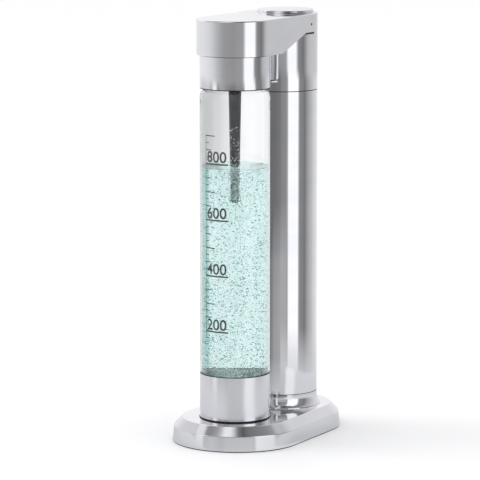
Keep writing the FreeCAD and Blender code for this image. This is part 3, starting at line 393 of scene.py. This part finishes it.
wall_r = water_radius - GAP
dome_low = water_low[2] + GAP
profile = np.concatenate([
    [[NEAR_AXIS, dome_low]],
    [[wall_r * 0.60, dome_low]],
    arc(wall_r * 0.60, STRAIGHT_LOW, wall_r * 0.38, STRAIGHT_LOW - dome_low, -84, -6, 12),
    [[wall_r * 0.99, STRAIGHT_LOW + 1.6 * MM]],
    np.stack([np.full(24, wall_r), np.linspace(WALL_LOW, fill_level - 2 * MM, 24)], axis=1),
    [[wall_r, fill_level]],
    [[wall_r - 0.4 * MM, fill_level - 0.15 * MM]],
    [[wall_r - MENISCUS, fill_level - 0.7 * MM]],
    [[wall_r - 2.4 * MENISCUS, fill_level - 1.0 * MM]],
    [[NOZZLE_R_AT_FILL + 2.0 * MENISCUS, fill_level - 1.0 * MM]],
    [[NOZZLE_R_AT_FILL + 0.6 * MENISCUS, fill_level - 0.7 * MM]],
    [[NOZZLE_R_AT_FILL + POCKET, fill_level - 0.1 * MM]],
    [[TIP_R + POCKET, nozzle_low + 4 * MM]],
    [[TIP_END_R + POCKET, nozzle_low - 0.3 * MM]],
    [[NEAR_AXIS, nozzle_low - 0.5 * MM]],
])
# painted light: the milky glow is raised towards the camera's right, so the water is milkier and brighter on
# that side
BRIGHT_SIDE = (0.845, 0.534, 0.0)
BRIGHT_SIDE_OFFSET = -(BRIGHT_SIDE[0] * bottle_axis[0] + BRIGHT_SIDE[1] * bottle_axis[1])
water = turned("sparkling_water", profile, bottle_axis, 192)
smooth(water, 50)

BODY_TEAL, SHADED_EDGE_TEAL = colour(213, 238, 237), colour(104, 168, 162)
teal = Finish("teal_water", Base_Color=BODY_TEAL, Roughness=0.0, IOR=1.33, Transmission_Weight=1.0)
# the scattering shader glows: painted light, which stands in for the light that the bubbles scatter
glowing_milk = teal.node("ShaderNodeBsdfPrincipled", {}, {
    "Base Color": colour(232, 245, 244), "Roughness": 0.6, "Emission Color": colour(216, 240, 238),
    "Emission Strength": 0.62})
drifts = teal.noise(34.0, 4.0, (1, 1, 0.6))
specks = teal.noise(420.0, 2.0, (1, 1, 0.8))
where = teal.node("ShaderNodeTexCoord", {}, {}, "Object")
bright_side = teal.node("ShaderNodeVectorMath", {"operation": "DOT_PRODUCT"},
                  {0: where, 1: BRIGHT_SIDE}, "Value")
bright_share = teal.spread(bright_side, -0.9 * wall_r - BRIGHT_SIDE_OFFSET, 0.1 * wall_r - BRIGHT_SIDE_OFFSET, 0.0, 1.0)
# the milky share: noise for the bubbles, raised on the bright side as painted light
milk_and_glow = teal.spread(drifts * 0.5 + specks * 0.5, 0.40, 0.66, 0.0, 0.34) * (0.30 + bright_share * 0.70)
# painted shade: on the camera's left the water's rim turns a deeper teal
rim = teal.node("ShaderNodeLayerWeight", {}, {"Blend": 0.5}, "Facing")
shaded_side = teal.spread(bright_side, -0.55 * wall_r - BRIGHT_SIDE_OFFSET, -0.30 * wall_r - BRIGHT_SIDE_OFFSET, 1.0, 0.0)
teal.drive(Base_Color=teal.blend(teal.spread(rim, 0.34, 0.40, 0.0, 1.0) * shaded_side, BODY_TEAL, SHADED_EDGE_TEAL))
mixed = teal.node("ShaderNodeMixShader", {}, {0: milk_and_glow, 1: Signal(teal, teal.shader.outputs[0]), 2: glowing_milk})
teal.output(mixed)
water.data.materials.append(teal.material)
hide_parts("water")
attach(water, "bottle")
print("water points", len(water.data.vertices))

# %% [markdown]
# ## Bubbles
# A bubble is a small sphere of air. There are thousands, so each has only eighty faces, and one
# mesh holds a whole cloud: the same ball is scaled and moved to every centre by one array product.
# Bubbles are small and many low down and near the nozzle, larger near the surface, and a fixed seed
# puts them in the same places every time.

# %% Bubble clouds
SEED = 364
BODY_CLEARANCE, WALL_CLEARANCE, NOZZLE_CLEARANCE = 1.4 * MM, 0.9 * MM, 7.0 * MM
SMALLEST = 0.18 * MM
random = np.random.default_rng(SEED)


def unit_ball():
    """Twenty-sided ball with every face split in four and pushed out to radius one."""
    golden = (1 + math.sqrt(5)) / 2
    corner = [(a, b * golden, 0) for a in (-1, 1) for b in (-1, 1)]
    corners = np.array([p for q in corner for p in (q, (q[2], q[0], q[1]), (q[1], q[2], q[0]))], float)
    corners /= np.linalg.norm(corners, axis=1)[:, None]
    reach = np.linalg.norm(corners[:, None] - corners[None], axis=2)
    near = reach < 1.1
    faces = [(i, j, k) for i in range(12) for j in range(i + 1, 12) for k in range(j + 1, 12)
             if near[i, j] and near[j, k] and near[i, k]]
    points = list(corners)
    split = {}
    small = []
    for a, b, c in faces:
        if np.dot(np.cross(corners[b] - corners[a], corners[c] - corners[a]), corners[a]) < 0:
            b, c = c, b
        middles = []
        for pair in ((a, b), (b, c), (c, a)):
            key = tuple(sorted(pair))
            if key not in split:
                middle = corners[pair[0]] + corners[pair[1]]
                split[key] = len(points)
                points.append(middle / np.linalg.norm(middle))
            middles.append(split[key])
        ab, bc, ca = middles
        small += [(a, ab, ca), (b, bc, ab), (c, ca, bc), (ab, bc, ca)]
    return np.array(points), np.array(small)


ball_points, ball_faces = unit_ball()


def about_bottle(radius, angle, height):
    """Points about the bottle's axis: its centre plus radius times the cosine and sine, at a height."""
    return np.stack([bottle_axis[0] + radius * np.cos(angle),
                     bottle_axis[1] + radius * np.sin(angle), height], axis=-1)


def cloud_of_balls(name, centres, radii):
    """One mesh of many balls: every ball point times its radius, plus its centre."""
    points = ball_points[None] * radii[:, None, None]
    points = points + centres[:, None, :]
    faces = ball_faces[None] + (np.arange(len(centres)) * len(ball_points))[:, None, None]
    piece = grid_mesh(name, points.reshape(-1, 3), faces.reshape(-1, 3))
    piece.data.shade_smooth()
    return piece


def inside_water(count, low, high, crowd):
    """Random centres in the round water body; crowd over one pulls them towards low."""
    radius = (wall_r - BODY_CLEARANCE) * np.sqrt(random.random(count))
    angle = random.random(count) * 2 * math.pi
    height = low + (high - low) * random.random(count) ** crowd
    centres = about_bottle(radius, angle, height)
    clear_of_nozzle = (radius > NOZZLE_CLEARANCE) | (height < nozzle_low - 2 * MM)
    return centres[clear_of_nozzle]


def on_wall(count, low, high):
    """Centres just inside the bottle's wall."""
    angle = random.random(count) * 2 * math.pi
    height = low + (high - low) * random.random(count)
    return about_bottle(wall_r - WALL_CLEARANCE, angle, height)


def sizes(count, small, large):
    """Radii with many small bubbles and few large ones."""
    return small + (large - small) * random.random(count) ** 3


def bubble_skin(name, tone, roughness):
    """Glossy skin of a bubble; the noise varies it from one bubble to the next."""
    finish = Finish(name, Base_Color=tone, Roughness=roughness)
    finish.drive(Roughness=finish.spread(finish.noise(900.0, 1.0), 0.3, 0.7, roughness, roughness + 0.12))
    return finish


# painted light and shade: the white skin is a painted highlight, the teal one the water seen through a
# bubble, the grey one a shaded bubble
bright_skin = bubble_skin("bright_bubble", colour(250, 255, 255), 0.08)
teal_skin = bubble_skin("teal_bubble", colour(148, 205, 200), 0.10)
shaded_skin = bubble_skin("shaded_bubble", colour(96, 138, 138), 0.10)

middle_height = (water_low[2] + fill_level) / 2
bottom_height = water_low[2] + 12 * MM
top_height = fill_level - 2.5 * MM
clouds = [
    ("bright_bubbles_low", inside_water(1500, bottom_height, middle_height, 1.2), 0.75, bright_skin),
    ("bright_bubbles_high", inside_water(1500, middle_height, top_height, 1.0), 0.75, bright_skin),
    ("teal_bubbles_low", inside_water(1300, bottom_height, middle_height, 1.0), 0.70, teal_skin),
    ("teal_bubbles_high", inside_water(1300, middle_height, top_height, 1.0), 0.70, teal_skin),
    ("bubbles_on_wall", on_wall(1500, bottom_height, top_height), 0.55, bright_skin),
    ("teal_bubbles_on_wall", on_wall(1300, bottom_height, top_height), 0.50, teal_skin),
    ("shaded_bubbles_on_wall", on_wall(260, bottom_height, top_height), 0.45, shaded_skin),
]
for cloud_name, centres, largest, skin in clouds:
    balls = cloud_of_balls(cloud_name, centres, sizes(len(centres), SMALLEST, largest * MM))
    balls.data.materials.append(skin.material)
    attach(balls, "bottle")
    print(cloud_name, len(centres))

# %% [markdown]
# Bubbles also cling to the nozzle, and spray sits on it above the water. They sit on its tapering
# skin, so their distance from the axis follows the taper. They belong to the head, because they
# stay on the nozzle when the bottle turns.

# %% Bubbles on the nozzle
TAPER_LOW, TAPER_HIGH = nozzle_low + 5 * MM, 352 * MM
TOP_R = 6.4 * MM
SPRAY_TOP = 318 * MM
LARGEST_CLINGING = 0.62 * MM


def on_nozzle(count, low, high, crowd):
    """Centres on the nozzle's skin and radii of small balls that stand half out of it."""
    up = low + (high - low) * random.random(count) ** crowd
    around = random.random(count) * 2 * math.pi
    small = sizes(count, SMALLEST, LARGEST_CLINGING)
    out = TIP_R + (up - TAPER_LOW) * (TOP_R - TIP_R) / (TAPER_HIGH - TAPER_LOW) + 0.3 * small
    return about_bottle(out, around, up), small


for cling_name, count, low, high, crowd, skin in (
        ("bubbles_on_nozzle", 620, nozzle_low + 1 * MM, fill_level - 2 * MM, 1.0, bright_skin),
        ("spray_on_nozzle", 420, fill_level, SPRAY_TOP, 1.6, bright_skin)):
    centres, radii = on_nozzle(count, low, high, crowd)
    clinging = cloud_of_balls(cling_name, centres, radii)
    clinging.data.materials.append(skin.material)
    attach(clinging, "head")
    print(cling_name, count)

# %% [markdown]
# ## The printed fill scale
# The bottle carries a plain scale: long and short marks with numbers, printed in dark ink. A mark
# is a thin curved strip. It is laid out flat, with across and up in metres, and then wrapped round
# the wall: across becomes an angle.

# %% Wrapping flat artwork round the bottle
INK_R = bottle_radius + 0.03 * MM
FRONT = -math.pi / 2


def wrapped(across, up):
    """Points on the bottle's wall from distances across and up, measured from the front line."""
    return about_bottle(INK_R, FRONT + across / INK_R, up)


def strip(left, right, low, high, parts=12):
    """Quads of one rectangular mark, cut into parts so that it follows the curve."""
    across = np.linspace(left, right, parts + 1)
    lower = wrapped(across, np.full(parts + 1, low))
    upper = wrapped(across, np.full(parts + 1, high))
    index = np.arange(parts)
    quads = np.stack([index, index + 1, index + 1 + parts + 1, index + parts + 1], axis=1)
    return np.concatenate([lower, upper]), quads


ink = Finish("dark_ink", Base_Color=colour(58, 62, 66), Roughness=0.4)
ink.drive(Base_Color=ink.blend(ink.spread(ink.noise(700.0, 2.0), 0.35, 0.7, 0.0, 1.0),
                               colour(52, 56, 60), colour(70, 74, 78)))

# litres to height: the bottle holds a level's volume above its rounded bottom
AREA = math.pi * water_radius ** 2
EMPTY_LEVEL = 59.5 * MM


def level_of(millilitres):
    """Height of a level: the volume over the round area, above the level of an empty bottle."""
    return EMPTY_LEVEL + millilitres * 1e-6 / AREA


LINE_AT = -13.5 * MM
FIRST, LAST, STEP = 175, 900, 25
points, quads, used = [], [], 0
LINE_HALF, LINE_OVER = 0.35 * MM, 0.5 * MM
marks_made = [(LINE_AT - LINE_HALF, LINE_AT + LINE_HALF,
               level_of(FIRST) - LINE_OVER, level_of(LAST) + LINE_OVER, 2)]
for volume in range(FIRST, LAST + 1, STEP):
    reach, thick = (26.5, 1.5) if volume % 200 == 0 else (12.0, 1.0) if volume % 100 == 0 else (
        (7.5, 0.8) if volume % 50 == 0 else (4.5, 0.6))
    level = level_of(volume)
    marks_made.append((LINE_AT, LINE_AT + reach * MM, level - thick * MM / 2, level + thick * MM / 2, 16))
for left, right, low, high, parts in marks_made:
    spots, faces = strip(left, right, low, high, parts)
    points.append(spots)
    quads.append(faces + used)
    used += len(spots)
marks = grid_mesh("fill_scale_marks", np.concatenate(points), np.concatenate(quads))
marks.data.materials.append(ink.material)
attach(marks, "bottle")
print("scale marks", len(marks_made))

# %% Numbers of the scale
NUMBER_SIZE = 15.5 * MM


def numeral(text, level):
    """A number as a mesh: typeset flat, cut finely, then wrapped on to the wall above its mark."""
    curve = bpy.data.curves.new("numeral", "FONT")
    curve.body = text
    curve.size = NUMBER_SIZE
    curve.offset = 0.18 * MM
    curve.align_x = "CENTER"
    curve.resolution_u = 4
    holder = bpy.data.objects.new("numeral", curve)
    flat = bpy.data.meshes.new_from_object(holder)
    bpy.data.objects.remove(holder)
    spots = np.empty(len(flat.vertices) * 3)
    flat.vertices.foreach_get("co", spots)
    spots = spots.reshape(-1, 3)
    corners = [list(face.vertices) for face in flat.polygons]
    return wrapped(spots[:, 0], level + 2.0 * MM + spots[:, 1]), corners


all_points, all_faces, offset = [], [], 0
for volume in (200, 400, 600, 800):
    spots, corners = numeral(str(volume), level_of(volume))
    all_points.append(spots)
    all_faces += [[corner + offset for corner in face] for face in corners]
    offset += len(spots)
number_mesh = bpy.data.meshes.new("fill_scale_numbers")
number_mesh.from_pydata(np.concatenate(all_points).tolist(), [], all_faces)
numbers = bpy.data.objects.new("fill_scale_numbers", number_mesh)
bpy.context.scene.collection.objects.link(numbers)
numbers.data.materials.append(ink.material)
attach(numbers, "bottle")
print("number points", offset)

# %% [markdown]
# ## The studio
# A mirror finish is only as good as what it mirrors. The floor and the sky are pale, which alone
# would leave the machine flat and white, so dark and light panels stand in a ring round it, as a
# product photographer places them. The panels are seen only in reflections: they cast no shadow and
# the camera doesn't see them.

# %% Floor
FLOOR_HALF = 14.0
floor = grid_mesh("floor", np.array([[-1, -1, 0], [1, -1, 0], [1, 1, 0], [-1, 1, 0]]) * FLOOR_HALF,
                  np.array([[0, 1, 2, 3]]))
paper = Finish("floor_paper", Base_Color=colour(247, 247, 248), Roughness=0.7)
paper.drive(Roughness=paper.spread(paper.noise(4.0, 2.0), 0.3, 0.7, 0.65, 0.8))
floor.data.materials.append(paper.material)

# %% Panels
CAMERA_SIDE = math.radians(-57.72)   # direction from the machine towards the camera, in plan
# angle from the camera's side in degrees, to the camera's right, and the brightness of the panel there
PANELS = [(-180, 1.04), (-150, 1.0), (-120, 0.76), (-84, 0.74), (-79, 0.58), (-71, 0.52), (-66, 1.2),
          (-57, 1.2), (-53, 0.30), (-46, 0.36), (-40, 0.48), (-32, 0.36), (-24, 0.28), (-15, 0.20),
          (-5, 0.19), (2, 0.29), (17, 0.32), (22, 0.44), (26, 1.25), (57, 1.25), (61, 0.45), (65, 0.29),
          (76, 0.27), (82, 0.21), (87, 0.32), (98, 0.48), (106, 0.58), (120, 0.74), (133, 0.84),
          (160, 1.0), (180, 1.04)]


def glow(name, strength=1.0):
    """A panel that shines by the brightness stored in its tone attribute."""
    finish = Finish(name, Base_Color=(0, 0, 0, 1), Roughness=1.0, Emission_Strength=strength,
                    Specular_IOR_Level=0.0)
    tone = finish.node("ShaderNodeAttribute", {"attribute_name": "tone"}, {}, "Color")
    finish.drive(Emission_Color=tone)
    return finish


def hide_but(piece, **seen):
    """Makes a stage piece invisible to every kind of ray but those named."""
    for kind in ("camera", "diffuse", "glossy", "transmission", "volume_scatter", "shadow"):
        setattr(piece, "visible_" + kind, seen.get(kind, False))


def toned(piece, tones, tint=(1.0, 1.0, 1.01)):
    """Stores one brightness per point, times a tint."""
    attribute = piece.data.attributes.new("tone", "FLOAT_COLOR", "POINT")
    tones = np.asarray(tones, float)
    values = np.concatenate([tones[:, None] * np.array(tint), np.ones((len(tones), 1))], axis=1)
    attribute.data.foreach_set("color", values.astype(np.float32).ravel())


def sheet_of(name, rows):
    """Mesh from a grid of points, rows by columns, with quads between neighbours."""
    high, wide = rows.shape[:2]
    index = (np.arange(high - 1)[:, None] * wide + np.arange(wide - 1)[None, :]).ravel()
    quads = np.stack([index, index + 1, index + 1 + wide, index + wide], axis=1)
    return grid_mesh(name, rows.reshape(-1, 3), quads)


# the same for the two bands above: the head mirrors the first and the broad bevel of the base the second
HEAD_PANELS = [(-180, 0.95), (-110, 0.95), (-99, 0.95), (-86, 0.90), (-74, 0.85), (-64, 0.76),
               (-55, 0.64), (-49, 0.57), (-36, 0.43), (-28, 0.39), (-8, 0.36), (0, 0.38), (12, 0.40),
               (17, 0.44), (20, 0.69), (23, 1.12), (26, 1.25), (50, 1.25), (53, 0.84), (57, 0.37),
               (62, 0.29), (76, 0.22), (85, 0.40), (94, 0.59), (106, 0.66), (136, 0.70), (160, 0.92),
               (180, 0.95)]
HIGH_PANELS = [(-180, 0.95), (-110, 1.2), (-94, 1.2), (-88, 0.36), (-71, 0.30), (-58, 0.42), (-50, 0.62),
               (-41, 1.0), (-25, 1.0), (-12, 0.62), (0, 0.22), (16, 0.11), (30, 0.20), (74, 0.29),
               (90, 0.41), (104, 0.65), (150, 0.85), (180, 0.95)]
RING_R, RING_HIGH = 0.35, 0.95
heights = np.array([0.0, 0.02, 0.05, 0.12, 0.19, 0.325, 0.337, 0.405, 0.445, RING_HIGH])
turns = np.linspace(-180, 180, 721)
plan = CAMERA_SIDE + np.radians(turns)
ring_points = np.stack([
    np.broadcast_to(RING_R * np.cos(plan), (len(heights), len(plan))),
    np.broadcast_to(RING_R * np.sin(plan), (len(heights), len(plan))),
    np.broadcast_to(heights[:, None], (len(heights), len(plan)))], axis=2)
panels = sheet_of("panel_ring", ring_points)
ring_tone, head_tone, high_tone = (np.interp(turns, *np.array(stops).T)
                                   for stops in (PANELS, HEAD_PANELS, HIGH_PANELS))
FLOOR_TONE, LOW_TONE = 0.78, 0.48
# a paler card stands low in front
low_panel = np.interp(turns, [-180, -27, -20, 18, 22, 180], [0, 0, 1, 1, 0, 0])
low_tone = ring_tone + (np.maximum(ring_tone, LOW_TONE) - ring_tone) * low_panel
# share of each band in every row of the ring, from the floor up: floor, low, middle, head, high
shares = np.array([[0.75, 0.25, 0, 0, 0], [0.5, 0.5, 0, 0, 0], [0, 1, 0, 0, 0], [0, 1, 0, 0, 0],
                   [0, 0, 1, 0, 0], [0, 0, 1, 0, 0], [0, 0, 0, 1, 0], [0, 0, 0, 1, 0],
                   [0, 0, 0, 0, 1], [0, 0, 0, 0, 1]])
tones = shares @ np.stack([np.full_like(turns, FLOOR_TONE), low_tone, ring_tone, head_tone, high_tone])
toned(panels, tones.ravel())
panels.data.materials.append(glow("panel_light").material)
hide_but(panels, glossy=True)
print("ring of panels", len(turns))

# %% [markdown]
# Three more cards finish the reflections. One lies on the floor, so that the polished base mirrors
# a floor that is a little darker than the paper, and darker still near the machine, which is painted
# shade. One is the ceiling, dark with a soft box of bluish light in it, for the broad bevel of the base.
# A dark one stands behind the bottle, and only the column's reflection sees it.

# %% Floor card, ceiling card and dark card
spans = np.array([0.0, 0.09, 0.16, 0.35, 2.0])
rounds = np.linspace(0, 2 * math.pi, 73)
floor_points = np.stack([spans[:, None] * np.cos(rounds), spans[:, None] * np.sin(rounds),
                         np.full((len(spans), len(rounds)), 0.0004)], axis=2)
floor_card = sheet_of("floor_card", floor_points)
# darker towards the machine: painted shade, the floor's shade round the base as the polished base mirrors it
floor_card_shade = np.array([0.63, 0.63, 0.73, 0.82, 0.95])
from_camera = (np.degrees(rounds - CAMERA_SIDE) + 180) % 360 - 180
soft_bands = np.interp(from_camera, [-180, -60, -30, -20, 14, 22, 44, 54, 180],
                       [1, 1.05, 1, 0.82, 0.84, 1.3, 1.3, 1, 1])
toned(floor_card, (floor_card_shade[:, None] * soft_bands[None]).ravel(), (0.99, 1.0, 1.02))
floor_card.data.materials.append(glow("floor_glow").material)
hide_but(floor_card, glossy=True)

side = np.linspace(-0.35, 0.35, 57)
across, along = np.meshgrid(side, side)
ceiling = sheet_of("ceiling_card", np.stack([across, along, np.full_like(across, RING_HIGH)], axis=2))
box_u = across * math.cos(CAMERA_SIDE) + along * math.sin(CAMERA_SIDE)
box_v = -across * math.sin(CAMERA_SIDE) + along * math.cos(CAMERA_SIDE)
box_light = np.clip(1.6 - np.hypot((box_u - 0.27) / 0.09, (box_v + 0.16) / 0.08), 0, 1)
toned(ceiling, (0.24 + 0.8 * box_light).ravel(), (0.95, 0.98, 1.06))
ceiling.data.materials.append(glow("ceiling_light").material)
hide_but(ceiling, glossy=True)

CARD_Y = (bottle_axis[1] + bottle_radius + column_axis[1] - column_radius) / 2
CARD_GAP = 2 * MM


def standing_card(name, x_values, levels, tones, y, **seen):
    """Upright card in the plane of y, with one row of tones for each level."""
    across, up = np.meshgrid(np.array(x_values), np.array(levels))
    card = sheet_of(name, np.stack([across, np.full_like(across, y), up], axis=2))
    toned(card, np.broadcast_to(np.array(tones), across.shape).ravel())
    card.data.materials.append(glow(name + "_light").material)
    hide_but(card, **seen)


standing_card("dark_card", [-0.036, 0.006, 0.013, 0.024], [0.040, 0.075, 0.17, 0.23, 0.3555],
              [[0.50, 0.50, 0.62, 0.66], [0.17, 0.20, 0.42, 0.48], [0.15, 0.17, 0.36, 0.44],
               [0.18, 0.18, 0.20, 0.26], [0.22, 0.20, 0.18, 0.22]], CARD_Y + CARD_GAP, glossy=True)

# %% [markdown]
# A bounce card stands behind the bottle, between it and the column. It is what makes a clear bottle
# look bright in a photograph, and it is seen only through the bottle.

# %% Bounce card
standing_card("bounce_card", [-0.12, -0.065, -0.045, -0.02, 0.05], [0.060, 0.255, 0.275, 0.3555],
              [[0.60, 0.78, 0.98, 1.08, 1.05], [0.62, 0.80, 1.0, 1.10, 1.06],
               [0.42, 0.48, 0.72, 0.98, 1.0], [0.42, 0.46, 0.66, 0.98, 1.0]],
              CARD_Y - CARD_GAP, transmission=True)

# %% Sky and key light
world = bpy.data.worlds.new("pale_studio")
bpy.context.scene.world = world
world.use_nodes = True
world.node_tree.nodes["Background"].inputs["Color"].default_value = (1.0, 1.0, 1.0, 1.0)
world.node_tree.nodes["Background"].inputs["Strength"].default_value = 1.06


def area_light(name, position, target, size, power):
    """Soft square lamp that points from position to target."""
    lamp = bpy.data.lights.new(name, "AREA")
    lamp.shape = "SQUARE"
    lamp.size = size
    lamp.energy = power
    holder = bpy.data.objects.new(name, lamp)
    bpy.context.scene.collection.objects.link(holder)
    heading = np.array(target) - np.array(position)
    flat = math.hypot(heading[0], heading[1])
    holder.location = position
    turn = math.atan2(heading[1], heading[0]) - math.pi / 2
    holder.rotation_euler = (math.atan2(flat, -heading[2]), 0, turn)
    holder.visible_glossy = False
    holder.visible_transmission = False
    return holder


area_light("key", (-1.9, -0.9, 2.4), (0, 0, 0.1), 1.5, 16)

# %% [markdown]
# ## The camera
# The camera is a long lens a good three metres away, to the machine's right and above it, looking
# slightly down.

# %% Camera
CAMERA_AT = (1.7407, -2.7907, 0.7024)
HEADING, PITCH = math.radians(32.28), math.radians(8.73)
view = bpy.data.cameras.new("camera")
view.lens = 247.9
view.sensor_width = 36.0
view.clip_end = 60.0
camera = bpy.data.objects.new("camera", view)
bpy.context.scene.collection.objects.link(camera)
camera.location = CAMERA_AT
camera.rotation_euler = (math.pi / 2 - PITCH, 0, HEADING)
bpy.context.scene.camera = camera
bpy.context.scene.view_settings.view_transform = "Standard"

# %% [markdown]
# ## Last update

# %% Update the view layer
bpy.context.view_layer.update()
